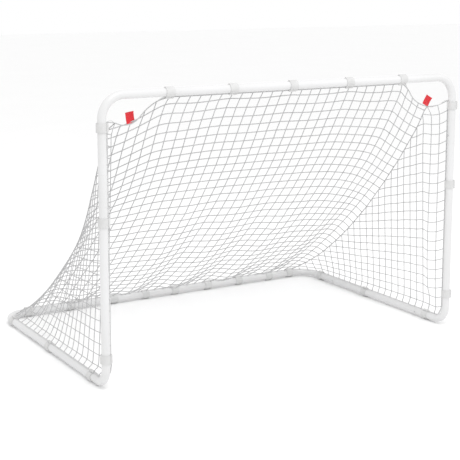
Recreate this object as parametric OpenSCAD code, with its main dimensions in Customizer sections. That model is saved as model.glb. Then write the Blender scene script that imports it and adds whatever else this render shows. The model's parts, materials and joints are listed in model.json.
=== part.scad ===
// Backyard soccer goal: a push-button steel tube frame with a clipped-on net.
// The mouth faces -Y, +Z is up, and the origin lies on the ground under the middle of the frame.

/* [Goal size] */
// Outside width across the two posts
goal_w = 1829; // [1700:1:2200]
// Outside height of the tube frame
goal_h = 1219; // [1150:1:1400]
// Outside depth from the posts to the back bar
goal_d = 1219; // [1150:1:1400]

/* [Tubes] */
// Outside diameter of every steel tube
tube_od = 36; // [34:0.5:40]
// Wall thickness of the tubes
tube_wall = 1.5; // [1.2:0.1:2]
// Bend radius of the two top corners, to the middle of the tube
top_bend_r = 95; // [80:1:105]
// Bend radius of the posts' feet, to the middle of the tube
foot_bend_r = 75; // [60:1:90]
// Bend radius of the two rear corners, to the middle of the tube
rear_bend_r = 95; // [80:1:105]
// Length of each corner tube's short leg, from the middle of its other leg
corner_leg = 313; // [290:1:330]
// Length of each post's foot behind the post, from the middle of the post
foot_leg = 244; // [230:1:260]
// Length of the swaged end that slides into the next tube
socket_len = 75; // [65:1:90]
// Gap all round a swaged end inside the next tube
socket_gap = 0.2; // [0.1:0.05:0.3]

/* [Snap buttons] */
// Distance from the end of the outer tube to its snap button
button_back = 38; // [34:1:44]
// Diameter of a snap button
button_d = 8; // [7:0.5:9]
// Height of a button's dome above the tube
button_proud = 4; // [3:0.5:4.5]
// Thickness of the steel strip of the button springs
leaf_t = 0.8; // [0.6:0.1:1]
// Width of the steel strip of the button springs
leaf_w = 9; // [8:0.5:10]

/* [Net clips] */
// Length of a clip along its tube
clip_len = 38; // [30:1:42]
// Wall thickness of a clip's band
clip_wall = 2.85; // [2.5:0.05:3.2]
// Gap between a clip's band and the tube
clip_fit = 0.15; // [0.1:0.05:0.2]
// Height of a clip's hook above the tube
hook_h = 9.2; // [8.6:0.1:10]

/* [Net] */
// Thickness of the solids that stand for the net panels
net_t = 4; // [3:0.5:6]
// Depth by which the back net sags below a straight line
net_sag = 118; // [80:1:150]
// Diameter of the cord round the edge of the net
cord_d = 3.6; // [3:0.1:3.8]
// Width of a red fabric tag
tag_w = 38; // [30:1:45]
// Height of a red fabric tag
tag_h = 48; // [40:1:55]

/* [Hidden] */
$fn = 64;
tube_r = tube_od / 2;
bore_r = tube_r - tube_wall;
swage_r = bore_r - socket_gap;
swage_bore_r = swage_r - tube_wall;
swage_neck = 6;      // length over which the bore narrows to the swaged end
edge_bevel = 0.5;    // bevel at the mouth of every tube end
overshoot = 1;       // how far cutting shapes pass the faces they cut

clip_bore_r = tube_r + clip_fit;
clip_r = clip_bore_r + clip_wall;
pocket_r = 2.6;      // cord pocket under the hook
pocket_at = tube_r + 2.8;
hook_r = tube_r + hook_h - pocket_at;
groove_r = 2.2;      // cord groove under the rib, opposite the hook
groove_at = tube_r + 2.1;
rib_r = 4.3;
rib_at = tube_r + 1.4;
slit_w = 3.2;        // slit beside the hook, where the clip opens
slit_turn = -24;
hook_bevel = 3;
cord_facets = 8;

// Axes of the frame's tubes
base_z = rib_at + rib_r;  // the frame stands on the ribs of its base clips
bar_z = base_z + goal_h - tube_od;
post_x = goal_w / 2 - tube_r;
front_y = -(goal_d / 2 - tube_r);
rear_y = goal_d / 2 - tube_r;
post_seam_z = bar_z - corner_leg;
foot_seam_y = front_y + foot_leg;
rear_seam_y = rear_y - corner_leg;

// Snap buttons, measured out from the middle of their tube
button_r = button_d / 2;
button_gap = 0.1;
button_top = tube_r + button_proud;
flange_r = button_r + 0.75;
flange_top = sqrt(pow(swage_bore_r, 2) - pow(flange_r, 2)) - 0.1;
flange_t = 0.75;
leaf_seat = flange_top - flange_t - 0.05;
leaf_bear = 0.1 - sqrt(pow(swage_bore_r, 2) - pow(leaf_w / 2, 2));
leaf_end = 7;        // length of the flat under the button, each way
leaf_reach = 33;     // from the button to the fold of its spring
leaf_fold = 2;       // half the width of the fold

// [joint, place, direction into the outer tube, direction of the button]
JOINTS = [
    ["top_middle", [0, front_y, bar_z], [-1, 0, 0], [0, 1, 0]],
    ["back_middle", [0, rear_y, base_z], [-1, 0, 0], [0, 1, 0]],
    ["post_left", [-post_x, front_y, post_seam_z], [0, 0, 1], [1, 0, 0]],
    ["post_right", [post_x, front_y, post_seam_z], [0, 0, 1], [-1, 0, 0]],
    ["foot_left", [-post_x, foot_seam_y, base_z], [0, -1, 0], [1, 0, 0]],
    ["foot_right", [post_x, foot_seam_y, base_z], [0, -1, 0], [-1, 0, 0]],
    ["rear_left", [-post_x, rear_seam_y, base_z], [0, 1, 0], [1, 0, 0]],
    ["rear_right", [post_x, rear_seam_y, base_z], [0, 1, 0], [-1, 0, 0]],
];

// Clips: how far along its tube the middle of each one sits
top_clip_x = [-597, -298, 0, 298, 597];
left_post_clip_z = [1080, 700, 136];
right_post_clip_z = [1073, 697, 162];
left_side_clip_y = [-452, 11, 470];
right_side_clip_y = [-452, 42, 446];
back_clip_x = [-780, -551, -312, -131, 43, 245, 439, 635, 772];
post_hook_turn = -24;  // direction of the posts' hooks, from +X towards +Y

// [clip, place, direction of its tube, turn of the hook about the tube]
CLIPS = concat(
    [for (i = [0:4]) [str("clip_top_", i + 1), [top_clip_x[i], front_y, bar_z], "x", -90]],
    [for (i = [0:2]) [str("clip_left_post_", i + 1), [-post_x, front_y, left_post_clip_z[i]], "z",
        post_hook_turn]],
    [for (i = [0:2]) [str("clip_right_post_", i + 1), [post_x, front_y, right_post_clip_z[i]], "z",
        post_hook_turn]],
    [for (i = [0:2]) [str("clip_left_side_", i + 1), [-post_x, left_side_clip_y[i], base_z], "y", 90]],
    [for (i = [0:2]) [str("clip_right_side_", i + 1), [post_x, right_side_clip_y[i], base_z], "y", 90]],
    [for (i = [0:8]) [str("clip_back_", i + 1), [back_clip_x[i], rear_y, base_z], "x", 90]]
);

// Net edge cord: the stretch that hangs across each top corner, as
// [in from the post, back from the mouth, down from the crossbar]
left_corner_cord = [[264, 6, 26], [216, 22, 61], [190, 32, 87], [169, 40, 113], [146, 42, 126],
    [111, 36, 127], [70, 18, 116], [40, 0, 100]];
right_corner_cord = [[258, 8, 47], [228, 20, 80], [188, 34, 107], [144, 42, 129], [96, 36, 140],
    [58, 24, 130], [34, 12, 112]];
cord_lead = 4;       // how far the cord runs straight past the end of a post's clip

// ---- Directions ----

// Turns +Z to the direction of a tube, and +X to a direction square to it
module aim(along, out) {
    side = cross(along, out);
    multmatrix([
        [out[0], side[0], along[0], 0],
        [out[1], side[1], along[1], 0],
        [out[2], side[2], along[2], 0],
        [0, 0, 0, 1]
    ]) children();
}

// ---- Tubes ----

// Outside of a straight leg from l0 to l1 along +Z, with a swaged end if male
module leg_outside(l0, l1, male) {
    translate([0, 0, l0]) cylinder(h = l1 - edge_bevel - l0, r = tube_r);
    translate([0, 0, l1 - edge_bevel]) cylinder(h = edge_bevel, r1 = tube_r, r2 = tube_r - edge_bevel);
    if (male) {
        translate([0, 0, l1 - edge_bevel]) cylinder(h = socket_len, r = swage_r);
        translate([0, 0, l1 + socket_len - edge_bevel])
            cylinder(h = edge_bevel, r1 = swage_r, r2 = swage_r - edge_bevel);
    }
}

// Bore of the same leg
module leg_bore(l0, l1, male) {
    if (male) {
        translate([0, 0, l0]) cylinder(h = l1 - swage_neck - l0, r = bore_r);
        translate([0, 0, l1 - swage_neck]) cylinder(h = swage_neck, r1 = bore_r, r2 = swage_bore_r);
        translate([0, 0, l1]) cylinder(h = socket_len + overshoot, r = swage_bore_r);
    } else {
        translate([0, 0, l0]) cylinder(h = l1 + overshoot - l0, r = bore_r);
    }
}

// Quarter bend of a round bar whose corner is at the origin, from +Z to +X
module quarter_bend(bend, r) {
    translate([bend, 0, bend]) rotate([90, 0, 0]) rotate([0, 0, 180])
        rotate_extrude(angle = 90, $fn = 96) translate([bend, 0]) circle(r = r);
}

// Snap-button hole through the wall on one side of a leg, at height z
module button_hole(z, turn) {
    translate([0, 0, z]) rotate([0, 0, turn]) rotate([0, 90, 0])
        cylinder(h = tube_od, r = button_r + button_gap);
}

// Tube with one quarter bend: one leg along +Z and the other along +X, both measured from the corner
module bent_tube(leg_z, leg_x, bend, male_z, male_x, hole_z, hole_z_turn, hole_x, hole_x_turn) {
    difference() {
        union() {
            leg_outside(bend, leg_z, male_z);
            rotate([0, 90, 0]) leg_outside(bend, leg_x, male_x);
            quarter_bend(bend, tube_r);
        }
        leg_bore(bend, leg_z, male_z);
        rotate([0, 90, 0]) leg_bore(bend, leg_x, male_x);
        quarter_bend(bend, bore_r);
        button_hole(hole_z, hole_z_turn);
        rotate([0, 90, 0]) button_hole(hole_x, hole_x_turn);
    }
}

// Top corner: half of the crossbar and the head of one post. side is -1 on the left, 1 on the right.
module top_corner(side) {
    male_bar = side > 0;
    hole_bar = male_bar ? post_x + button_back : post_x - button_back;
    color("whitesmoke") translate([side * post_x, front_y, bar_z])
        rotate([0, 180, side > 0 ? 0 : 180])
            bent_tube(corner_leg, post_x, top_bend_r, false, male_bar,
                corner_leg - button_back, 0, hole_bar, side > 0 ? 90 : -90);
}

// Post: the upright with its foot bent back along the ground
module post(side) {
    color("whitesmoke") translate([side * post_x, front_y, base_z])
        rotate([0, 0, 90])
            bent_tube(post_seam_z - base_z, foot_leg, foot_bend_r, true, false,
                post_seam_z - base_z + button_back, side > 0 ? 90 : -90,
                foot_leg - button_back, side > 0 ? 90 : -90);
}

// Straight tube of the base, swaged at both ends
module side_tube(side) {
    length = rear_seam_y - foot_seam_y;
    turn = side > 0 ? 180 : 0;
    color("whitesmoke") translate([side * post_x, foot_seam_y + length / 2, base_z])
        rotate([-90, 0, 0]) difference() {
            for (end = [0, 1]) mirror([0, 0, end]) leg_outside(0, length / 2, true);
            for (end = [0, 1]) mirror([0, 0, end]) {
                translate([0, 0, -overshoot]) leg_bore(0, length / 2 + overshoot, true);
                button_hole(length / 2 + button_back, turn);
            }
        }
}

// Rear corner: half of the back bar and the rear end of one side of the base
module rear_corner(side) {
    male_bar = side > 0;
    hole_bar = male_bar ? post_x + button_back : post_x - button_back;
    color("whitesmoke") translate([side * post_x, rear_y, base_z])
        rotate([90, 0, 0]) rotate([0, 0, side > 0 ? 180 : 0])
            bent_tube(corner_leg, post_x, rear_bend_r, false, male_bar,
                corner_leg - button_back, 0, hole_bar, 0);
}

// ---- Snap buttons and their springs, drawn with the outer tube along +Z and the button along +X ----

module snap_button() {
    dome_r = 1.25 * button_r;
    dome_z = button_top - dome_r;
    color("gainsboro") rotate([0, 90, 0]) {
        translate([0, 0, flange_top - flange_t]) cylinder(h = flange_t, r = flange_r);
        translate([0, 0, flange_top - flange_t]) cylinder(h = dome_z + flange_t - flange_top, r = button_r);
        intersection() {
            translate([0, 0, dome_z - overshoot]) cylinder(h = tube_od, r = button_r);
            translate([0, 0, dome_z]) sphere(r = dome_r);
        }
    }
}

// Bent strip of steel through a list of points
module strip(points) {
    for (i = [0:len(points) - 2]) {
        run = points[i + 1] - points[i];
        translate(points[i]) rotate(atan2(run[1], run[0]))
            translate([0, -leaf_t / 2]) square([norm(run), leaf_t]);
    }
    for (p = points) translate(p) circle(d = leaf_t, $fn = 24);
}

// V of steel strip: one leaf holds the button out, the other bears on the far side of the bore
module button_spring() {
    near = leaf_seat - leaf_t / 2;
    far = leaf_bear + leaf_t / 2;
    color("slategray") rotate([90, 0, 0]) linear_extrude(height = leaf_w, center = true)
        strip([[near, leaf_end], [near, -leaf_end], [leaf_fold, -leaf_reach],
            [-leaf_fold, -leaf_reach], [far, -leaf_end], [far, 0]]);
}

module at_joint(j) {
    translate(j[1] + button_back * j[2]) aim(j[2], j[3]) children();
}

// ---- Net clips, drawn on a tube along +Z with the hook along +X ----

module clip_profile() {
    difference() {
        union() {
            circle(r = clip_r);
            translate([pocket_at, 0]) circle(r = hook_r);
            translate([-rib_at, 0]) circle(r = rib_r);
        }
        circle(r = clip_bore_r);
        translate([pocket_at, 0]) circle(r = pocket_r);
        translate([-groove_at, 0]) circle(r = groove_r);
        rotate(slit_turn) translate([tube_r - overshoot, -slit_w / 2])
            square([hook_h + clip_wall, slit_w]);
    }
}

module clip_envelope() {
    reach = tube_r + hook_h;
    half = clip_len / 2;
    rotate_extrude() polygon([[0, -half], [reach - hook_bevel, -half], [reach, hook_bevel - half],
        [reach, half - hook_bevel], [reach - hook_bevel, half], [0, half]]);
}

module net_clip(place, along, turn) {
    lay = along == "x" ? [90, 0, 90] : along == "y" ? [90, 0, 180] : [0, 0, 0];
    color("gainsboro") translate(place) rotate(lay) rotate([0, 0, turn]) intersection() {
        linear_extrude(height = clip_len, center = true) clip_profile();
        clip_envelope();
    }
}

// ---- Net ----

net_top = [front_y + 8, bar_z - tube_r - hook_h - 4];
net_foot = [rear_y - 6, base_z + tube_r + hook_h + 4];
net_steps = 16;
side_net_x = post_x - 16.5;
net_front_y = front_y + 28;
net_toe = 75;        // how much of each side net's lower front corner is cut off

// Edge of the back net, as [in from the middle of the post, height]
net_inset = [[128, 0], [112, 420], [106, 700], [103, 1050], [206, 1050], [311, goal_h]];

// Point of the sagging back net in the Y-Z plane, at share t of the way down
function net_point(t, down) =
    let (
        run = net_foot - net_top,
        square_to = [run[1], -run[0]] / norm(run),
        dip = 4 * net_sag * t * (1 - t) + down
    )
    net_top + t * run + dip * square_to;

module net_back() {
    shape = concat([for (i = [0:net_steps]) net_point(i / net_steps, 0)],
        [for (i = [net_steps:-1:0]) net_point(i / net_steps, net_t)]);
    side = [for (p = net_inset) [post_x - p[0], p[1]]];
    color("lightgray") intersection() {
        rotate([90, 0, 90]) linear_extrude(height = goal_w, center = true) polygon(shape);
        rotate([90, 0, 0]) linear_extrude(height = 2 * goal_d, center = true)
            polygon(concat(side, [for (i = [len(side) - 1:-1:0]) [-side[i][0], side[i][1]]]));
    }
}

// Side net: the triangle between the post, the base and the edge of the back net
module side_net(side) {
    gap = 8;
    steps = [2:net_steps - 1];
    low = base_z + tube_r + hook_h + 3;
    edge = [for (i = steps) net_point(i / net_steps, net_t + gap)];
    shape = concat([[net_front_y + net_toe, low], [net_front_y, low + net_toe],
        [net_front_y, edge[0][1]]], edge,
        [[edge[len(edge) - 1][0], low]]);
    color("lightgray") translate([side * side_net_x, 0, 0])
        rotate([90, 0, 90]) linear_extrude(height = net_t, center = true) polygon(shape);
}

// ---- Edge cord ----

function unit(v) = v / norm(v);

// Direction of a cord at each of its points
function cord_runs(p) = [for (i = [0:len(p) - 1])
    unit((i > 0 ? unit(p[i] - p[i - 1]) : [0, 0, 0])
        + (i < len(p) - 1 ? unit(p[i + 1] - p[i]) : [0, 0, 0]))];

// A direction square to the cord at each point, carried along without twist
function cord_sides(runs) = [
    for (i = 0, side = unit(cross(runs[0], [0.3, 0.5, 0.8])); i < len(runs);
        i = i + 1, side = i < len(runs) ? unit(side - (side * runs[i]) * runs[i]) : side) side];

// Cord of cord_facets sides swept through a list of points
module cord(points) {
    runs = cord_runs(points);
    sides = cord_sides(runs);
    n = cord_facets;
    last = (len(points) - 1) * n;
    rings = [for (i = [0:len(points) - 1], k = [0:n - 1])
        points[i] + cord_d / 2 * (cos(360 * k / n) * sides[i]
            + sin(360 * k / n) * cross(runs[i], sides[i]))];
    walls = [for (i = [0:len(points) - 2], k = [0:n - 1], half = [0, 1])
        let (a = i * n + k, b = i * n + (k + 1) % n)
        half == 0 ? [a, a + n, b + n] : [a, b + n, b]];
    polyhedron(rings, concat(walls, [[for (k = [0:n - 1]) k]], [[for (k = [n - 1:-1:0]) last + k]]));
}

cord_on_post = [for (side = [-1, 1])
    let (reach = side < 0 ? pocket_at : -groove_at)
    [side * post_x + reach * cos(post_hook_turn), front_y + reach * sin(post_hook_turn)]];

// Cord past a foot: it winds from the side of the post to the top of the base tube
function foot_cord(side) =
    let (
        start = side < 0 ? post_hook_turn : -post_hook_turn,
        steps = 8,
        away = tube_r + cord_d / 2 + 1.2
    )
    [for (i = [0:steps])
        let (
            bend = 90 * i / steps,
            wind = start + (90 - start) * i / steps,
            inward = away * sin(wind),
            r = foot_bend_r - inward
        )
        [side * (post_x - away * cos(wind)),
            front_y + foot_bend_r - r * cos(bend),
            base_z + foot_bend_r - r * sin(bend)]];

function corner_cord(side, list) = [for (p = list)
    [side * (post_x - p[0]), front_y + p[1], bar_z - p[2]]];

module net_edge_cord() {
    top_z = bar_z - pocket_at;
    low_z = base_z + pocket_at;
    half = clip_len / 2;
    past = half + cord_lead;
    left_top = [for (i = [len(left_corner_cord) - 1:-1:0]) corner_cord(-1, left_corner_cord)[i]];
    left_post = [cord_on_post[0][0], cord_on_post[0][1]];
    right_post = [cord_on_post[1][0], cord_on_post[1][1]];
    left_foot = foot_cord(-1);
    right_foot = foot_cord(1);
    color("white") cord(concat(
        [[-post_x, left_side_clip_y[0] - half, low_z]],
        [for (i = [len(left_foot) - 1:-1:0]) left_foot[i]],
        [concat(left_post, left_post_clip_z[2] - half), concat(left_post, left_post_clip_z[0] + past)],
        left_top,
        [[top_clip_x[0] - half, front_y, top_z], [top_clip_x[4] + half, front_y, top_z]],
        corner_cord(1, right_corner_cord),
        [concat(right_post, right_post_clip_z[0] + past),
            concat(right_post, right_post_clip_z[2] - half)],
        right_foot,
        [[post_x, right_side_clip_y[0] - half, low_z], [post_x, right_side_clip_y[2] + half, low_z],
            [back_clip_x[8] + half, rear_y, low_z], [back_clip_x[0] - half, rear_y, low_z],
            [-post_x, left_side_clip_y[2] + half, low_z],
            [-post_x, left_side_clip_y[0] - half + cord_d, low_z]]
    ));
}

// ---- Red tags, standing up from the edge of the net ----

module tag(place, lean) {
    thick = 1.2;
    color("crimson") translate(place) rotate([0, lean, 0])
        translate([-tag_w / 2, -thick / 2, 0]) cube([tag_w, thick, tag_h]);
}

top_corner(-1);  // top_corner_left
top_corner(1);  // top_corner_right
post(-1);  // post_left
post(1);  // post_right
side_tube(-1);  // side_tube_left
side_tube(1);  // side_tube_right
rear_corner(-1);  // rear_corner_left
rear_corner(1);  // rear_corner_right
for (j = JOINTS) at_joint(j) snap_button();
for (j = JOINTS) at_joint(j) button_spring();
for (c = CLIPS) net_clip(c[1], c[2], c[3]);
net_back();
side_net(-1);  // net_left
side_net(1);  // net_right
net_edge_cord();
tag([3 - post_x + 144, front_y + 44, bar_z - 122], -9);  // tag_left
tag([post_x - 125, front_y + 44, bar_z - 131], 30);  // tag_right
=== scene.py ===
"""Backyard soccer goal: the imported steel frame, its knotted net, edge cord, tags and springs."""

import json
import math

import bmesh
import bpy
import numpy as np
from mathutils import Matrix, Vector


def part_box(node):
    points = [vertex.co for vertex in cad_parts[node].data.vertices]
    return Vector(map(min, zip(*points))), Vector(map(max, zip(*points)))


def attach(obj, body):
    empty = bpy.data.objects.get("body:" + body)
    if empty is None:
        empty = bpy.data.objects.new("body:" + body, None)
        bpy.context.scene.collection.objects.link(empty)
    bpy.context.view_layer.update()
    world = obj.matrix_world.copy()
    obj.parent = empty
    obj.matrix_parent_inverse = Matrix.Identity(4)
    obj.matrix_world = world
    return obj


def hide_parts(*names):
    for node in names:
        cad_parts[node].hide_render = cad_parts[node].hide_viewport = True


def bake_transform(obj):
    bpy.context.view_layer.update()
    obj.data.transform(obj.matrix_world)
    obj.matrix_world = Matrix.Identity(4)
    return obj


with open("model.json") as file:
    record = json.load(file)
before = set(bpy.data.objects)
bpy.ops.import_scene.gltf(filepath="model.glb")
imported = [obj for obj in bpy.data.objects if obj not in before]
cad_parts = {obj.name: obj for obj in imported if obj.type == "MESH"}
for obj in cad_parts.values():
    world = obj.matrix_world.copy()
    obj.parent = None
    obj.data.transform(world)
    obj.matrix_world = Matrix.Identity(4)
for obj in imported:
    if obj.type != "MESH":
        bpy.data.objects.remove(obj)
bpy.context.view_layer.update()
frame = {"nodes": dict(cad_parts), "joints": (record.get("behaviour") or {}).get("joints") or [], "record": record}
scene = bpy.context.scene


# ---- Places read from the frame ----

def middle(node):
    low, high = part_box(node)
    return (low + high) / 2


TUBE_R = (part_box("side_tube_left")[1].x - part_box("side_tube_left")[0].x) / 2
POST_X = middle("side_tube_right").x
BASE_Z = middle("side_tube_right").z
FRONT_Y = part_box("post_right")[0].y + TUBE_R
REAR_Y = -FRONT_Y
BAR_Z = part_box("top_corner_right")[1].z - TUBE_R
CLIP_HALF = (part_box("clip_top_1")[1].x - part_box("clip_top_1")[0].x) / 2
TOP_CLIPS = [middle(f"clip_top_{i}").x for i in range(1, 6)]
BACK_CLIPS = [middle(f"clip_back_{i}").x for i in range(1, 10)]
SIDE = {"left": -1, "right": 1}
POST_CLIPS = {side: [middle(f"clip_{side}_post_{i}").z for i in (1, 2, 3)] for side in SIDE}
SIDE_CLIPS = {side: [middle(f"clip_{side}_side_{i}").y for i in (1, 2, 3)] for side in SIDE}

# ---- The edge cord's route, as in the CAD ----

POCKET_AT = 0.0208  # from a tube's axis to the cord in a clip's hook
GROOVE_AT = 0.0201  # and to the cord in the groove of a clip's rib
HOOK_TURN = math.radians(-24)  # how far the posts' clips are turned on their tube
FOOT_BEND_R = 0.075
FOOT_STEPS = 8
CORD_R = 0.0018
CORD_OFF_TUBE = 0.0012  # gap between the cord and a foot bend
CORD_LEAD = 0.004  # straight cord past a post's top clip
CORD_TOP_Z = BAR_Z - POCKET_AT
CORD_LOW_Z = BASE_Z + POCKET_AT

# Across each top corner, in mm: in from the post, back from the mouth, down from the crossbar
CORNERS = {
    "left": [(264, 6, 26), (216, 22, 61), (190, 32, 87), (169, 40, 113), (146, 42, 126),
             (111, 36, 127), (70, 18, 116), (40, 0, 100)],
    "right": [(258, 8, 47), (228, 20, 80), (188, 34, 107), (144, 42, 129), (96, 36, 140),
              (58, 24, 130), (34, 12, 112)],
}


def corner_points(side):
    return [(SIDE[side] * (POST_X - inward / 1000), FRONT_Y + back / 1000, BAR_Z - down / 1000)
            for inward, back, down in CORNERS[side]]


def post_cord(side):
    """Where the cord runs down a post: in the hooks on the left, in the grooves on the right."""
    reach = POCKET_AT if side == "left" else -GROOVE_AT
    return SIDE[side] * POST_X + reach * math.cos(HOOK_TURN), FRONT_Y + reach * math.sin(HOOK_TURN)


def foot_cord(side):
    """Round the foot bend, winding from the post's clip to the top of the base."""
    start = HOOK_TURN if side == "left" else -HOOK_TURN
    away = TUBE_R + CORD_R + CORD_OFF_TUBE
    out = []
    for i in range(FOOT_STEPS + 1):
        bend = math.pi / 2 * i / FOOT_STEPS
        wind = start + (math.pi / 2 - start) * i / FOOT_STEPS
        r = FOOT_BEND_R - away * math.sin(wind)
        out.append((SIDE[side] * (POST_X - away * math.cos(wind)),
                    FRONT_Y + FOOT_BEND_R - r * math.cos(bend),
                    BASE_Z + FOOT_BEND_R - r * math.sin(bend)))
    return out


# ---- Curves and meshes ----

def smooth_line(points, per_span):
    """Catmull-Rom curve through points, per_span steps to each span."""
    p = np.asarray(points, float)
    q = np.vstack([2 * p[0] - p[1], p, 2 * p[-1] - p[-2]])
    t = np.arange(per_span)[:, None] / per_span
    out = []
    for i in range(1, len(q) - 2):
        a, b, c, d = q[i - 1], q[i], q[i + 1], q[i + 2]
        out.append(0.5 * (2 * b + (c - a) * t + (2 * a - 5 * b + 4 * c - d) * t**2
                          + (3 * b - a - 3 * c + d) * t**3))
    out.append(p[-1:])
    return np.vstack(out)


def lengths_to(points):
    """Length along a line to each of its points."""
    return np.concatenate([[0], np.cumsum(np.linalg.norm(np.diff(points, axis=0), axis=1))])


def points_along(points, at):
    """Points at these lengths along the line."""
    s = lengths_to(points)
    return np.stack([np.interp(at, s, points[:, k]) for k in range(3)], 1)


def resample(points, step):
    """The same line with evenly spaced points."""
    total = lengths_to(points)[-1]
    return points_along(points, np.linspace(0, total, int(round(total / step)) + 1))


def share_along(points, shares):
    """Points at shares of the line's length."""
    return points_along(points, np.asarray(shares) * lengths_to(points)[-1])


ANY_WAY = (0.3, 0.5, 0.8)  # a direction that no twine starts along


def unit(v):
    return v / np.maximum(np.linalg.norm(v, axis=-1, keepdims=True), 1e-12)


KNOT_SIDES, KNOT_RINGS = 6, 3
KNOT_FLAT, KNOT_WIDE = 0.85, 1.1  # a knot's half height and half width, against its size
KNOT_UV = (0.1, 0.003)  # a small patch of the twine's pattern for each face


class TubeBuilder:
    """Round tubes and knots in one mesh, with UVs: u round the tube, v along it in metres."""

    def __init__(self):
        self.verts, self.faces, self.uvs, self.count = [], [], [], 0

    def tube(self, line, radius, sides, bulge=None):
        """A closed tube along a line. bulge scales its radius by length along and turn."""
        n = len(line)
        runs = unit(np.gradient(line, axis=0))
        side_dir = np.zeros_like(runs)
        d = np.cross(runs[0], ANY_WAY)
        for i in range(n):
            d = unit(d - (d @ runs[i]) * runs[i])
            side_dir[i] = d
        other = np.cross(runs, side_dir)
        along = lengths_to(line)
        turn = np.arange(sides) * 2 * math.pi / sides
        r = np.full((n, sides), radius)
        if bulge is not None:
            r = r * bulge(along[:, None], turn[None, :])
        ring = line[:, None, :] + r[..., None] * (np.cos(turn)[None, :, None] * side_dir[:, None, :]
                                                  + np.sin(turn)[None, :, None] * other[:, None, :])
        base = self.count
        self.verts.append(ring.reshape(-1, 3))
        self.count += n * sides
        for i in range(n - 1):
            for k in range(sides):
                a, b = base + i * sides + k, base + i * sides + (k + 1) % sides
                self.faces.append((a, b, b + sides, a + sides))
                u0, u1, v0, v1 = k / sides, (k + 1) / sides, along[i], along[i + 1]
                self.uvs.append(((u0, v0), (u1, v0), (u1, v1), (u0, v1)))
        for ring_at, order in ((0, range(sides - 1, -1, -1)), (n - 1, range(sides))):
            self.faces.append(tuple(base + ring_at * sides + k for k in order))
            self.uvs.append(tuple((k / sides, along[ring_at]) for k in order))

    def knot(self, at, run_a, run_b, size):
        """Small rounded knot, flattened square to the two twines that cross in it."""
        a = unit(run_a)
        c = unit(np.cross(a, run_b))
        b = np.cross(c, a)
        flat, wide = size * KNOT_FLAT, size * KNOT_WIDE
        points = [at + c * flat]
        for i in range(1, KNOT_RINGS + 1):
            polar = math.pi * i / (KNOT_RINGS + 1)
            for k in range(KNOT_SIDES):
                t = 2 * math.pi * (k + 0.5 * (i % 2)) / KNOT_SIDES
                points.append(at + c * flat * math.cos(polar)
                              + (a * math.cos(t) + b * math.sin(t)) * wide * math.sin(polar))
        points.append(at - c * flat)
        self.verts.append(np.array(points))
        top, bottom = self.count, self.count + len(points) - 1
        self.count += len(points)
        last_ring = bottom - KNOT_SIDES
        for k in range(KNOT_SIDES):
            n = (k + 1) % KNOT_SIDES
            self.knot_face((top, top + 1 + k, top + 1 + n))
            self.knot_face((bottom, last_ring + n, last_ring + k))
            for i in range(KNOT_RINGS - 1):
                p, q = top + 1 + i * KNOT_SIDES + k, top + 1 + i * KNOT_SIDES + n
                self.knot_face((p, p + KNOT_SIDES, q + KNOT_SIDES, q))

    def knot_face(self, face):
        self.faces.append(face)
        self.uvs.append(tuple((KNOT_UV[0] * j, KNOT_UV[1] * j) for j in range(len(face))))

    def build(self, name):
        mesh = bpy.data.meshes.new(name)
        mesh.from_pydata(np.vstack(self.verts).tolist(), [], self.faces)
        layer = mesh.uv_layers.new(name="along")
        flat = [uv for face in self.uvs for uv in face]
        layer.data.foreach_set("uv", np.array(flat, np.float32).ravel())
        mesh.polygons.foreach_set("use_smooth", np.ones(len(mesh.polygons), bool))
        mesh.update()
        obj = bpy.data.objects.new(name, mesh)
        scene.collection.objects.link(obj)
        return obj


# ---- Materials ----

class Maker:
    """Shorthand for a node material: a value that is a socket is linked, and any other is set."""

    def __init__(self, name):
        self.material = bpy.data.materials.new(name)
        self.material.use_nodes = True
        self.tree = self.material.node_tree
        self.shader = self.tree.nodes["Principled BSDF"]
        self.coords = self.tree.nodes.new("ShaderNodeTexCoord")

    def node(self, kind, inputs=(), **settings):
        made = self.tree.nodes.new(kind)
        for key, value in settings.items():
            setattr(made, key, value)
        for key, value in dict(inputs).items():
            if isinstance(value, bpy.types.NodeSocket):
                self.tree.links.new(value, made.inputs[key])
            else:
                made.inputs[key].default_value = value
        return made

    def set(self, **values):
        """Settings of the shader, with _ for each space in an input's name."""
        for key, value in values.items():
            socket = self.shader.inputs[key.replace("_", " ")]
            if isinstance(value, bpy.types.NodeSocket):
                self.tree.links.new(value, socket)
            else:
                socket.default_value = value

    def noise(self, scale, detail, roughness=0.5):
        made = self.node("ShaderNodeTexNoise", {"Vector": self.coords.outputs["Object"],
                                                "Scale": scale, "Detail": detail,
                                                "Roughness": roughness})
        return made.outputs["Fac"]

    def ramp(self, factor, stops):
        """Colour between two stops, each a position and a colour."""
        made = self.node("ShaderNodeValToRGB", {"Fac": factor})
        for element, (at, colour) in zip(made.color_ramp.elements, stops):
            element.position = at
            element.color = (*colour, 1)
        return made.outputs["Color"]

    def spread(self, factor, low, high):
        made = self.node("ShaderNodeMapRange", {"Value": factor, "To Min": low, "To Max": high})
        return made.outputs["Result"]

    def compute(self, operation, a, b=None):
        inputs = {0: a} if b is None else {0: a, 1: b}
        return self.node("ShaderNodeMath", inputs, operation=operation).outputs[0]

    def bump(self, height, strength, distance, under=None):
        inputs = {"Height": height, "Strength": strength, "Distance": distance}
        if under is not None:
            inputs["Normal"] = under
        return self.node("ShaderNodeBump", inputs).outputs["Normal"]


def powder_coat():
    """White powder coat with a fine orange peel."""
    m = Maker("white_powder_coat")
    drift = m.noise(3.5, 4)
    peel = m.noise(520, 2)
    specks = m.noise(140, 6, 0.7)
    m.set(Base_Color=m.ramp(drift, [(0.3, (0.67, 0.67, 0.67)), (0.7, (0.71, 0.71, 0.715))]),
          Roughness=m.spread(specks, 0.28, 0.46), Coat_Weight=0.25, Coat_Roughness=0.22,
          Normal=m.bump(specks, 0.10, 0.0004, m.bump(peel, 0.22, 0.0003)))
    return m.material


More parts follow.
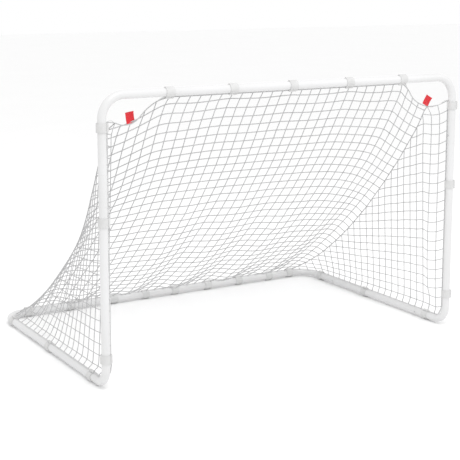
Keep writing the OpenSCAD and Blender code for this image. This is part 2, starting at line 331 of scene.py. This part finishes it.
def zinc(name, dark, light, rough):
    """Zinc crystals with fine scratches across them."""
    m = Maker(name)
    place = m.coords.outputs["Object"]
    crystals = m.node("ShaderNodeTexVoronoi", {"Vector": place, "Scale": 420.0})
    brushed = m.node("ShaderNodeMapping", {"Vector": place, "Scale": (300, 300, 4200)})
    scratch = m.node("ShaderNodeTexNoise", {"Vector": brushed.outputs["Vector"],
                                            "Scale": 1.0, "Detail": 4.0})
    m.set(Base_Color=m.ramp(crystals.outputs["Distance"], [(0.0, dark), (0.8, light)]),
          Metallic=1.0, Roughness=m.spread(scratch.outputs["Fac"], rough - 0.1, rough + 0.12),
          Normal=m.bump(scratch.outputs["Fac"], 0.12, 0.0002))
    return m.material


def clip_plastic():
    """Moulded nylon with a fine grain and faint flow marks."""
    m = Maker("clip_plastic")
    grain = m.noise(900, 2)
    flow = m.noise(28, 5, 0.6)
    m.set(Base_Color=m.ramp(flow, [(0.3, (0.58, 0.58, 0.578)), (0.7, (0.64, 0.64, 0.638))]),
          Roughness=m.spread(flow, 0.48, 0.62),
          Subsurface_Weight=0.06, Subsurface_Radius=(0.004, 0.004, 0.004),
          Normal=m.bump(grain, 0.25, 0.0002, m.bump(flow, 0.15, 0.0005)))
    return m.material


def twine(name, low, high, turns, pitch, rough):
    """Twisted strands, each turning once in turns x pitch metres: u runs round, and v along. The colour runs from
    low, painted shade in the grooves between strands, to high on their crowns.
    """
    m = Maker(name)
    uv = m.node("ShaderNodeSeparateXYZ", {"Vector": m.coords.outputs["UV"]})
    lay = m.compute("MULTIPLY", uv.outputs["Y"], 1.0 / pitch)
    round_it = m.compute("MULTIPLY", uv.outputs["X"], turns)
    wave = m.compute("SINE", m.compute("MULTIPLY", m.compute("ADD", lay, round_it), 2 * math.pi))
    made = m.node("ShaderNodeMapRange", {"Value": wave, "From Min": -1.0, "From Max": 1.0})
    strand = made.outputs["Result"]
    fuzz = m.noise(1400, 3)
    drift = m.noise(5, 3)
    # A colour Mix node's factor is input 0, its two colours are 6 and 7, and its result is output 2
    # Painted shade: darker in the grooves between strands and lighter on their crowns, following the strand wave
    # that also drives the bump
    hollow_shaded_tint = m.node("ShaderNodeMix", {0: strand, 6: (*low, 1), 7: (*high, 1)}, data_type="RGBA")
    fade = m.ramp(drift, [(0.25, (0.88, 0.88, 0.88)), (0.75, (1, 1, 1))])
    shade = m.node("ShaderNodeMix", {0: 1.0, 6: hollow_shaded_tint.outputs[2], 7: fade},
                   data_type="RGBA", blend_type="MULTIPLY")
    m.set(Base_Color=shade.outputs[2], Roughness=m.spread(fuzz, rough - 0.08, rough + 0.1),
          Sheen_Weight=0.25, Sheen_Roughness=0.5,
          Normal=m.bump(fuzz, 0.3, 0.0003, m.bump(strand, 0.8, 0.0006)))
    return m.material


def tape():
    """Plain woven nylon tape."""
    m = Maker("red_tag_weave")
    uv = m.coords.outputs["UV"]
    warp = m.node("ShaderNodeTexWave", {"Vector": uv, "Scale": 17.0, "Distortion": 0.3},
                  bands_direction="X")
    weft = m.node("ShaderNodeTexWave", {"Vector": uv, "Scale": 21.0, "Distortion": 0.3},
                  bands_direction="Y")
    weave = m.compute("MULTIPLY", warp.outputs["Fac"], weft.outputs["Fac"])
    drift = m.noise(60, 4)
    # Painted shade: the red is darker where the weave's height is low, in the hollows between threads
    hollow_shaded_tint = m.ramp(weave, [(0.0, (0.58, 0.008, 0.018)), (0.6, (0.88, 0.018, 0.032))])
    m.set(Base_Color=hollow_shaded_tint, Roughness=m.spread(drift, 0.5, 0.72),
          Sheen_Weight=0.4, Sheen_Roughness=0.4,
          Normal=m.bump(weave, 0.5, 0.0004, m.bump(drift, 0.25, 0.001)))
    return m.material


def floor_paint():
    m = Maker("floor")
    drift = m.noise(1.2, 3)
    m.set(Base_Color=m.ramp(drift, [(0.2, (0.965, 0.965, 0.965)), (0.8, (0.98, 0.98, 0.98))]),
          Roughness=0.9, Normal=m.bump(m.noise(60, 2), 0.05, 0.001))
    return m.material


LOOKS = {
    "white_powder_coat": powder_coat(),
    "button_steel": zinc("button_steel", (0.46, 0.46, 0.47), (0.62, 0.62, 0.63), 0.34),
    "spring_steel": zinc("spring_steel", (0.22, 0.23, 0.26), (0.36, 0.37, 0.40), 0.40),
    "clip_plastic": clip_plastic(),
    # Each twine's first colour is the painted shade in the grooves between strands, and its second is the strands'
    # crowns
    "net_twine": twine("net_twine", (0.41, 0.41, 0.415), (0.62, 0.62, 0.625), 3, 0.012, 0.7),
    "edge_cord": twine("edge_cord", (0.62, 0.62, 0.62), (0.80, 0.80, 0.80), 4, 0.010, 0.65),
    "red_tag": tape(),
}
SLOT_OF = {s["node"]: s["material_slot"] for s in frame["record"]["subparts"]}
for node, obj in frame["nodes"].items():
    obj.data.materials.clear()
    obj.data.materials.append(LOOKS[SLOT_OF[node]])


def finish_piece(obj, slot):
    obj.data.materials.append(LOOKS[slot])
    return obj


# ---- Camera ----

LOOKS_DOWN, LOOKS_RIGHT = 9.41, 30.63  # degrees from level, and from straight into the mouth

camera_data = bpy.data.cameras.new("camera")
camera_data.sensor_width = 36
camera_data.lens = 91.82
camera_data.shift_y = -0.12  # the photo's uprights are nearly parallel
camera_data.clip_end = 100
camera = bpy.data.objects.new("camera", camera_data)
scene.collection.objects.link(camera)
camera.location = (-2.792, -4.780, 1.651)
camera.rotation_euler = (math.radians(90 - LOOKS_DOWN), 0, math.radians(-LOOKS_RIGHT))
scene.camera = camera

# ---- Net ----

COLS, ROWS = 33, 31  # cells across and down the back panel
SIDE_ROWS = 22  # cells down each side panel
CORNER = {"left": 5, "right": 4}  # cells between an end clip and its corner
SIDE_START = {"left": 1, "right": 2}  # cells along the top of each side panel
CORNER_SHARE = {"left": 0.84, "right": 0.68}  # share of a corner's cord that holds the back panel
CLIP_CELLS = 6  # cells between two clips of the crossbar
TOP_SPANS = 4  # stretches of crossbar between the five clips
FADE_COLS = 9  # columns over which the cells change from the seam's to the middle's

# Cell sizes in metres
CELL = 0.0492
TOP_CELL, TOP_CELL_MORE = 0.024, 0.016  # top cells under a clip, and how much higher between two
SEAM_TOP_CELL, SEAM_CELL = 0.045, 0.0504
UPPER_CELL, LOWER_CELL_MORE = 0.0470, 0.0105
LOWER_FROM, LOWER_OVER = 7, 6  # row where the cells start to grow, and rows that this takes

# Lengths against the straight way, as shares, adjusted until the net sagged as in the photo
SEAM_SPARE, MIDDLE_SPARE = 1.009, 1.0145
SIDE_ROW_SPARE, SIDE_COLUMN_SPARE = 1.006, 1.012

# Where the relaxation starts from, in metres
START_DOWN, START_FORWARD, START_SIDE_DOWN = 0.07, 0.06, 0.02
SEAM_BULGE, SEAM_SAG = 0.035, 0.088
SEAM_FORWARD, SEAM_DOWN = 0.66, 0.75  # shares of the seam's sag

# Relaxation
STEPS, QUICK_STEPS, SWEEPS = 420, 160, 16
SPEED_KEPT = 0.94  # share of a knot's speed that it keeps in each step
FALL, SETTLING_FALL = 0.0002, 0.00003  # metres that gravity adds in a step, at first and at the end
SETTLES_AFTER = 0.6  # share of the steps
UNEVEN = 0.006  # how much the hand-knotted twines differ in length
LOWEST = 0.012  # metres above the ground


def column_cells(j, straight):
    """Cell heights down a column of the back panel: in all a little more than the straight way."""
    inside = min(1.0, min(j, COLS - j) / FADE_COLS)
    middle_share = inside**2 * (3 - 2 * inside)
    between = math.sin(math.pi * (j - CORNER["left"]) / CLIP_CELLS) ** 2
    first = TOP_CELL + TOP_CELL_MORE * between
    cells = [first * middle_share + SEAM_TOP_CELL * (1 - middle_share)]
    for i in range(1, ROWS):
        lower = min(1.0, max(0.0, (i - LOWER_FROM) / LOWER_OVER))
        in_middle = UPPER_CELL + LOWER_CELL_MORE * lower
        cells.append(in_middle * middle_share + SEAM_CELL * (1 - middle_share))
    total = straight * (SEAM_SPARE + (MIDDLE_SPARE - SEAM_SPARE) * middle_share)
    return [c * total / sum(cells) for c in cells]


class Knots:
    """The net's knots: each has a key, a place, and whether it is tied to the edge cord."""

    def __init__(self):
        self.index, self.pos, self.pinned = {}, [], []

    def add(self, key, at, pinned):
        self.index[key] = len(self.pos)
        self.pos.append(np.asarray(at, float))
        self.pinned.append(pinned)

    def at(self, *key):
        return self.pos[self.index[key]]


def corner_edge(side):
    """Knots along a corner's cord, from the crossbar's end clip to the post's top clip."""
    route = smooth_line([(SIDE[side] * (TOP_CLIPS[4] + CLIP_HALF), FRONT_Y, CORD_TOP_Z),
                         *corner_points(side),
                         (*post_cord(side), POST_CLIPS[side][0] + CLIP_HALF + CORD_LEAD)], 6)
    line = np.vstack([[(SIDE[side] * TOP_CLIPS[4], FRONT_Y, CORD_TOP_Z)], route])
    share = CORNER_SHARE[side]
    shares = [share * k / CORNER[side] for k in range(CORNER[side] + 1)]
    shares += [share + (1 - share) * (k + 1) / SIDE_START[side] for k in range(SIDE_START[side])]
    return share_along(line, shares)


def top_knot(j, corner_edges):
    """Place of the back panel's top knot in column j."""
    if j <= CORNER["left"]:
        return corner_edges["left"][CORNER["left"] - j]
    if j >= COLS - CORNER["right"]:
        return corner_edges["right"][j - (COLS - CORNER["right"])]
    share = (j - CORNER["left"]) / (TOP_SPANS * CLIP_CELLS)
    return TOP_CLIPS[0] + (TOP_CLIPS[4] - TOP_CLIPS[0]) * share, FRONT_Y, CORD_TOP_Z


def start_back(knots, corner_edges):
    """The back panel's knots before the relaxation: a shallow bag from crossbar to back bar."""
    back_width = BACK_CLIPS[8] - BACK_CLIPS[0] + 2 * CLIP_HALF
    for j in range(COLS + 1):
        knots.add(("b", 0, j), top_knot(j, corner_edges), True)
    for i in range(1, ROWS + 1):
        t = i / ROWS
        dip = math.sin(math.pi * t)
        for j in range(COLS + 1):
            start = knots.at("b", 0, j)
            end_x = BACK_CLIPS[0] - CLIP_HALF + back_width * (j / COLS)
            end = np.array([end_x, REAR_Y, CORD_LOW_Z])
            at = start + (end - start) * t
            at[2] -= START_DOWN * dip
            at[1] -= START_FORWARD * dip
            at[0] += SEAM_BULGE * (2 * j / COLS - 1) * dip
            knots.add(("b", i, j), end if i == ROWS else at, i == ROWS)


def start_side(knots, side, corner_edges):
    """A side panel's starting knots. Returns its cells' widths by row and heights by column."""
    foot = smooth_line(foot_cord(side), 3)
    edge = corner_edges[side]
    post = post_cord(side)
    z_top = edge[-1][2]
    low_end = knots.at("b", ROWS, 0 if side == "left" else COLS)
    rear = (SIDE[side] * POST_X, SIDE_CLIPS[side][2] + CLIP_HALF, CORD_LOW_Z)
    low_line = np.vstack([foot[len(foot) // 2:], [rear, low_end]])
    last = SIDE_ROWS + SIDE_START[side]
    low = share_along(low_line, [c / last for c in range(last + 1)])
    row_cell, seam_at = [], {}
    for r in range(SIDE_ROWS + 1):
        at_post = np.array([*post, z_top + (foot[0][2] - z_top) * min(1.0, r / (SIDE_ROWS - 1))])
        share = r / SIDE_ROWS
        seam = edge[CORNER[side]] * (1 - share) + low_end * share
        arch = 4 * share * (1 - share)
        seam = seam + arch * np.array([SIDE[side] * SEAM_BULGE,
                                       -SEAM_FORWARD * SEAM_SAG, -SEAM_DOWN * SEAM_SAG])
        cells = r + SIDE_START[side]
        seam_at[cells] = seam
        row_cell.append(SIDE_ROW_SPARE * (np.linalg.norm(seam - at_post) / cells))
        for c in range(cells + 1):
            pinned = True
            if r == SIDE_ROWS:
                at = low[c]
            elif c == 0:
                at = at_post
            elif r == 0:
                at = edge[CORNER[side] + SIDE_START[side] - c]
            else:
                at = at_post + (seam - at_post) * c / cells
                at[2] -= START_SIDE_DOWN * math.sin(math.pi * c / cells)
                pinned = False
            knots.add((side, r, c), at, pinned)
    column_cell = []
    for c in range(last):
        top = seam_at[c] if c >= SIDE_START[side] else knots.at(side, 0, c)
        drop = np.linalg.norm(top - knots.at(side, SIDE_ROWS, c))
        column_cell.append(SIDE_COLUMN_SPARE * drop / (SIDE_ROWS - max(0, c - SIDE_START[side])))
    return row_cell, column_cell


def back_links(index, drops):
    """Twines of the back panel: two knots and the length between them."""
    links = []
    for i in range(ROWS + 1):
        for j in range(COLS + 1):
            if j < COLS:
                links.append((index["b", i, j], index["b", i, j + 1], CELL))
            if i < ROWS:
                links.append((index["b", i, j], index["b", i + 1, j], drops[j][i]))
    return links


def side_links(index, side, row_cell, column_cell):
    links = []
    for r in range(SIDE_ROWS + 1):
        cells = r + SIDE_START[side]
        for c in range(cells + 1):
            if c < cells:
                links.append((index[side, r, c], index[side, r, c + 1], row_cell[r]))
            if r < SIDE_ROWS:
                links.append((index[side, r, c], index[side, r + 1, c], column_cell[c]))
    return links


def seam_ties(index, side):
    """Each side row's last knot, the two knots of the back panel it lies between, and its share."""
    column = 0 if side == "left" else COLS
    ties = []
    for r in range(SIDE_ROWS + 1):
        at = r * ROWS / SIDE_ROWS
        k = min(int(at), ROWS - 1)
        ties.append((index[side, r, r + SIDE_START[side]],
                     index["b", k, column], index["b", k + 1, column], at - k))
    return ties


def build_net():
    """Hangs the three panels from the cord. Returns each knot's number by key, and their places."""
    knots = Knots()
    corner_edges = {side: corner_edge(side) for side in SIDE}
    start_back(knots, corner_edges)
    cells = {side: start_side(knots, side, corner_edges) for side in SIDE}
    drops = [column_cells(j, np.linalg.norm(knots.at("b", 0, j) - knots.at("b", ROWS, j)))
             for j in range(COLS + 1)]
    links = back_links(knots.index, drops)
    ties = []
    for side in SIDE:
        links += side_links(knots.index, side, *cells[side])
        ties += seam_ties(knots.index, side)
    return knots.index, hang(knots.index, np.array(knots.pos), np.array(knots.pinned), links, ties)


def seam_reach(t):
    """How far out the left and right seams are held, at share t of the way down.

    It stands for the side panels' pull, and was adjusted until the seams sat as in the photo.
    """
    middle_in = math.sin(math.pi * t)
    top_out = math.sin(math.pi * t**0.5)
    left = 0.832 - 0.033 * t + 0.035 * top_out * (1 - t) ** 2 - 0.03 * middle_in**2
    right = 0.782 + 0.017 * t - 0.028 * middle_in
    return left, right


def separate_groups(a, b):
    """Groups of twines in which no two share a knot, so that a group can be moved at once."""
    used, colour = {}, np.zeros(len(a), int)
    for n in range(len(a)):
        taken = used.setdefault(a[n], set()) | used.setdefault(b[n], set())
        c = 0
        while c in taken:
            c += 1
        colour[n] = c
        used[a[n]].add(c)
        used[b[n]].add(c)
    return [np.flatnonzero(colour == c) for c in range(colour.max() + 1)]


def hang(index, x, pinned, links, ties):
    """Relaxes the net: twines resist stretching only, and gravity pulls the free knots."""
    a = np.array([link[0] for link in links])
    b = np.array([link[1] for link in links])
    rest = np.array([link[2] for link in links])
    keep = ~(pinned[a] & pinned[b])
    a, b, rest = a[keep], b[keep], rest[keep]
    rest = rest * (1 + UNEVEN * np.random.default_rng(7).standard_normal(len(rest)))
    groups = separate_groups(a, b)
    free = (~pinned).astype(float)
    side_knot, upper, lower = (np.array([tie[k] for tie in ties]) for k in range(3))
    share = np.array([tie[3] for tie in ties])[:, None]
    seam_left = np.array([index["b", i, 0] for i in range(1, ROWS)])
    seam_right = np.array([index["b", i, COLS] for i in range(1, ROWS)])
    reach = np.array([seam_reach(i / ROWS) for i in range(1, ROWS)])
    floor_z = np.where(pinned, -1, LOWEST)
    old = x.copy()
    steps = STEPS
    for step in range(steps):
        move = (x - old) * SPEED_KEPT
        old = x.copy()
        fall = SETTLING_FALL if step > steps * SETTLES_AFTER else FALL
        x = x + free[:, None] * (move + np.array([0, 0, -fall]))
        for _ in range(SWEEPS):
            for group in groups:
                i, j = a[group], b[group]
                d = x[j] - x[i]
                length = np.linalg.norm(d, axis=1)
                over = np.maximum(length - rest[group], 0) / np.maximum(length, 1e-9)
                weight = free[i] + free[j]
                shift = (over / np.maximum(weight, 1e-9))[:, None] * d
                x[i] += free[i][:, None] * shift
                x[j] -= free[j][:, None] * shift
            gap = x[side_knot] - ((1 - share) * x[upper] + share * x[lower])
            free_side, free_upper, free_lower = (free[k][:, None]
                                                 for k in (side_knot, upper, lower))
            weight = free_side + free_upper * (1 - share) ** 2 + free_lower * share**2
            pull = gap / np.maximum(weight, 1e-9)
            x[side_knot] -= free_side * pull
            np.add.at(x, upper, free_upper * (1 - share) * pull)
            np.add.at(x, lower, free_lower * share * pull)
            x[seam_left, 0] = np.minimum(x[seam_left, 0], -reach[:, 0])
            x[seam_right, 0] = np.maximum(x[seam_right, 0], reach[:, 1])
        x[:, 2] = np.maximum(x[:, 2], floor_z)
    return x


KNOT_NUMBER, KNOT_PLACES = build_net()


def knot_at(*key):
    return KNOT_PLACES[KNOT_NUMBER[key]]


# Radii in metres: not measured, but set so that each panel looks about as dense as the photo's
TWINE_R = {"back": 0.0022, "left": 0.0018, "right": 0.0019}
KNOT_R = {"back": 0.0032, "left": 0.0027, "right": 0.0028}
EDGE_TWINE_R = 0.0024
TWINE_SIDES, TWINE_SMOOTH = 6, 3


def net_piece(panel, lines, crossings):
    made = TubeBuilder()
    for line, radius in lines:
        made.tube(smooth_line(line, TWINE_SMOOTH), radius, TWINE_SIDES)
    for at, run_a, run_b in crossings:
        made.knot(at, run_a, run_b, KNOT_R[panel])
    obj = finish_piece(made.build(f"net_{panel}_mesh"), "net_twine")
    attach(obj, "frame")
    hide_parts(f"net_{panel}")


def back_net():
    twine_r = TWINE_R["back"]
    grid = np.array([[knot_at("b", i, j) for j in range(COLS + 1)] for i in range(ROWS + 1)])
    lines = [(grid[i], EDGE_TWINE_R if i == 0 else twine_r) for i in range(ROWS)]
    lines += [(grid[:, j], EDGE_TWINE_R if j in (0, COLS) else twine_r) for j in range(COLS + 1)]
    crossings = [(grid[i, j], grid[i, min(j + 1, COLS)] - grid[i, max(j - 1, 0)],
                  grid[i + 1, j] - grid[i - 1, j])
                 for i in range(1, ROWS) for j in range(COLS + 1)]
    net_piece("back", lines, crossings)


def side_net(side):
    twine_r = TWINE_R[side]
    start = SIDE_START[side]
    rows = [np.array([knot_at(side, r, c) for c in range(r + start + 1)])
            for r in range(SIDE_ROWS + 1)]
    lines = [(row, twine_r) for row in rows[:-1]]
    for c in range(SIDE_ROWS + start):
        lines.append((np.array([row[c] for row in rows if c < len(row)]), twine_r))
    crossings = [(rows[r][c], rows[r][c + 1] - rows[r][c - 1], rows[r + 1][c] - rows[r][c])
                 for r in range(1, SIDE_ROWS) for c in range(1, len(rows[r]) - 1)]
    net_piece(side, lines, crossings)


back_net()
for panel_side in SIDE:
    side_net(panel_side)

# ---- Edge cord ----


def cord_route():
    """All the way round: up the left post, across the top, down the right post, round the base."""
    left, right = post_cord("left"), post_cord("right")
    past = CLIP_HALF + CORD_LEAD
    corner_left = smooth_line([(TOP_CLIPS[0] - CLIP_HALF, FRONT_Y, CORD_TOP_Z),
                               *corner_points("left"), (*left, POST_CLIPS["left"][0] + past)], 8)
    corner_right = smooth_line([(TOP_CLIPS[4] + CLIP_HALF, FRONT_Y, CORD_TOP_Z),
                                *corner_points("right"),
                                (*right, POST_CLIPS["right"][0] + past)], 8)
    parts = [
        [(-POST_X, SIDE_CLIPS["left"][0] - CLIP_HALF, CORD_LOW_Z)],
        smooth_line(foot_cord("left"), 4)[::-1],
        [(*left, POST_CLIPS["left"][2] - CLIP_HALF)],
        corner_left[::-1], corner_right,
        [(*right, POST_CLIPS["right"][2] - CLIP_HALF)],
        smooth_line(foot_cord("right"), 4),
        [(POST_X, SIDE_CLIPS["right"][0] - CLIP_HALF, CORD_LOW_Z),
         (POST_X, SIDE_CLIPS["right"][2] + CLIP_HALF, CORD_LOW_Z),
         (BACK_CLIPS[8] + CLIP_HALF, REAR_Y, CORD_LOW_Z),
         (BACK_CLIPS[0] - CLIP_HALF, REAR_Y, CORD_LOW_Z),
         (-POST_X, SIDE_CLIPS["left"][2] + CLIP_HALF, CORD_LOW_Z),
         (-POST_X, SIDE_CLIPS["left"][0] - CLIP_HALF + 2 * CORD_R, CORD_LOW_Z)],
    ]
    return np.vstack([np.asarray(p, float) for p in parts])


BRAID_PITCH, BRAID_DEPTH = 0.0085, 0.05
CORD_STEP, CORD_SIDES = 0.0028, 10


def braid(along, turn):
    """Radius of the braided cord, as a share of CORD_R."""
    wave = np.sin(along * 2 * math.pi / BRAID_PITCH) * np.sin(2 * turn)
    return 1 - BRAID_DEPTH + BRAID_DEPTH * wave


def edge_cord():
    made = TubeBuilder()
    made.tube(resample(cord_route(), CORD_STEP), CORD_R, CORD_SIDES, braid)
    obj = finish_piece(made.build("net_edge_rope"), "edge_cord")
    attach(obj, "frame")
    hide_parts("net_edge_cord")


edge_cord()

# ---- Red tags ----


TAG_WIDTH, TAG_HEIGHT, TAG_THICK = 0.038, 0.048, 0.0009
HEM_THICK = 0.00035  # extra on each face
HEM_FROM = 0.42  # share of the height, from the middle, where a hem starts
TAG_TWIST, TAG_CURL = 0.0012, 0.0035  # metres
TAG_COLS, TAG_ROWS = 14, 18


def tag_point(layer, i, k, bow):
    """A point of a tag that stands upright at the origin, bowed back and twisted a little."""
    u, v = i / TAG_COLS - 0.5, k / TAG_ROWS - 0.5
    hem = HEM_THICK if abs(v) > HEM_FROM else 0.0
    y = bow * (1 - 4 * v * v) - 0.5 * bow + TAG_TWIST * math.sin(5 * u + 3 * v)
    y += (layer - 0.5) * (TAG_THICK + 2 * hem)
    x = u * TAG_WIDTH * (1 - 0.02 * math.cos(math.pi * v)) + TAG_CURL * (0.25 - v * v) * 2
    return x, y, v * TAG_HEIGHT * 0.985


def red_tag(side, lean, bow):
    """Woven tape tag standing on the net's edge, curved about its own height, with turned hems."""
    node = f"tag_{side}"
    centre = middle(node)
    nx, nz = TAG_COLS, TAG_ROWS
    verts, faces, uvs = [], [], []
    tilt = math.radians(lean)
    for layer in (0, 1):
        for k in range(nz + 1):
            for i in range(nx + 1):
                x, y, z = tag_point(layer, i, k, bow)
                verts.append((centre.x + x * math.cos(tilt) + z * math.sin(tilt), centre.y + y,
                              centre.z - x * math.sin(tilt) + z * math.cos(tilt)))

    def at(layer, i, k):
        return (layer * (nz + 1) + k) * (nx + 1) + i

    for layer in (0, 1):
        for k in range(nz):
            for i in range(nx):
                quad = [(i, k), (i + 1, k), (i + 1, k + 1), (i, k + 1)]
                quad = quad if layer == 0 else quad[::-1]
                faces.append([at(layer, *q) for q in quad])
                uvs.append([(q[0] / nx, q[1] / nz) for q in quad])
    rim = [(i, 0) for i in range(nx)] + [(nx, k) for k in range(nz)]
    rim += [(i, nz) for i in range(nx, 0, -1)] + [(0, k) for k in range(nz, 0, -1)]
    for n, p in enumerate(rim):
        q = rim[(n + 1) % len(rim)]
        faces.append([at(0, *q), at(0, *p), at(1, *p), at(1, *q)])
        uvs.append([(c[0] / nx, c[1] / nz) for c in (q, p, p, q)])
    mesh = bpy.data.meshes.new(f"{node}_cloth")
    mesh.from_pydata(verts, [], faces)
    layer = mesh.uv_layers.new(name="weave")
    layer.data.foreach_set("uv", np.array([c for f in uvs for c in f], np.float32).ravel())
    mesh.polygons.foreach_set("use_smooth", np.ones(len(mesh.polygons), bool))
    obj = bpy.data.objects.new(f"{node}_cloth", mesh)
    scene.collection.objects.link(obj)
    finish_piece(obj, "red_tag")
    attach(obj, "frame")
    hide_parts(node)


red_tag("left", -9, 0.006)
red_tag("right", 30, 0.005)

# ---- Springs, copied with their long edges cut ----

LONG_EDGE = 0.006  # edges longer than this are cut, so that the strip can bend
SPRING_CUTS = 5

for joint in frame["joints"]:
    name = joint["name"].replace("press_", "")
    source = frame["nodes"][f"button_spring_{name}"]
    mesh = source.data.copy()
    obj = bpy.data.objects.new(f"spring_{name}", mesh)
    scene.collection.objects.link(obj)
    shape = bmesh.new()
    shape.from_mesh(mesh)
    bmesh.ops.remove_doubles(shape, verts=shape.verts, dist=1e-6)
    long_edges = [e for e in shape.edges if e.calc_length() > LONG_EDGE]
    bmesh.ops.subdivide_edges(shape, edges=long_edges, cuts=SPRING_CUTS, use_grid_fill=True)
    bmesh.ops.triangulate(shape, faces=[f for f in shape.faces if len(f.verts) > 4])
    shape.to_mesh(mesh)
    shape.free()
    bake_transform(obj)
    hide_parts(f"button_spring_{name}")
    mesh.materials.clear()
    finish_piece(obj, "spring_steel")

# ---- Floor and light ----

FLOOR_HALF = 30
AIM = Vector((0, 0, 0.5))  # where both lights point

floor_mesh = bpy.data.meshes.new("floor")
floor_corners = [(x * FLOOR_HALF, y * FLOOR_HALF, 0)
                 for x, y in ((-1, -1), (1, -1), (1, 1), (-1, 1))]
floor_mesh.from_pydata(floor_corners, [], [(0, 1, 2, 3)])
floor = bpy.data.objects.new("floor", floor_mesh)
scene.collection.objects.link(floor)
floor.data.materials.append(floor_paint())

world = bpy.data.worlds.new("studio")
scene.world = world
world.use_nodes = True
backdrop = world.node_tree.nodes["Background"]
backdrop.inputs["Color"].default_value = (1, 1, 1, 1)
backdrop.inputs["Strength"].default_value = 1.0


def softbox(name, at, size, power):
    data = bpy.data.lights.new(name, "AREA")
    data.shape = "RECTANGLE"
    data.size, data.size_y = size
    data.energy = power
    lamp = bpy.data.objects.new(name, data)
    scene.collection.objects.link(lamp)
    lamp.location = at
    lamp.rotation_euler = (AIM - Vector(at)).to_track_quat("-Z", "Y").to_euler()


softbox("key_light", (-1.0, -3.0, 5.0), (2.2, 2.2), 85)
softbox("fill_light", (4.0, -3.0, 3.5), (3, 3), 25)
scene.view_settings.view_transform = "Standard"
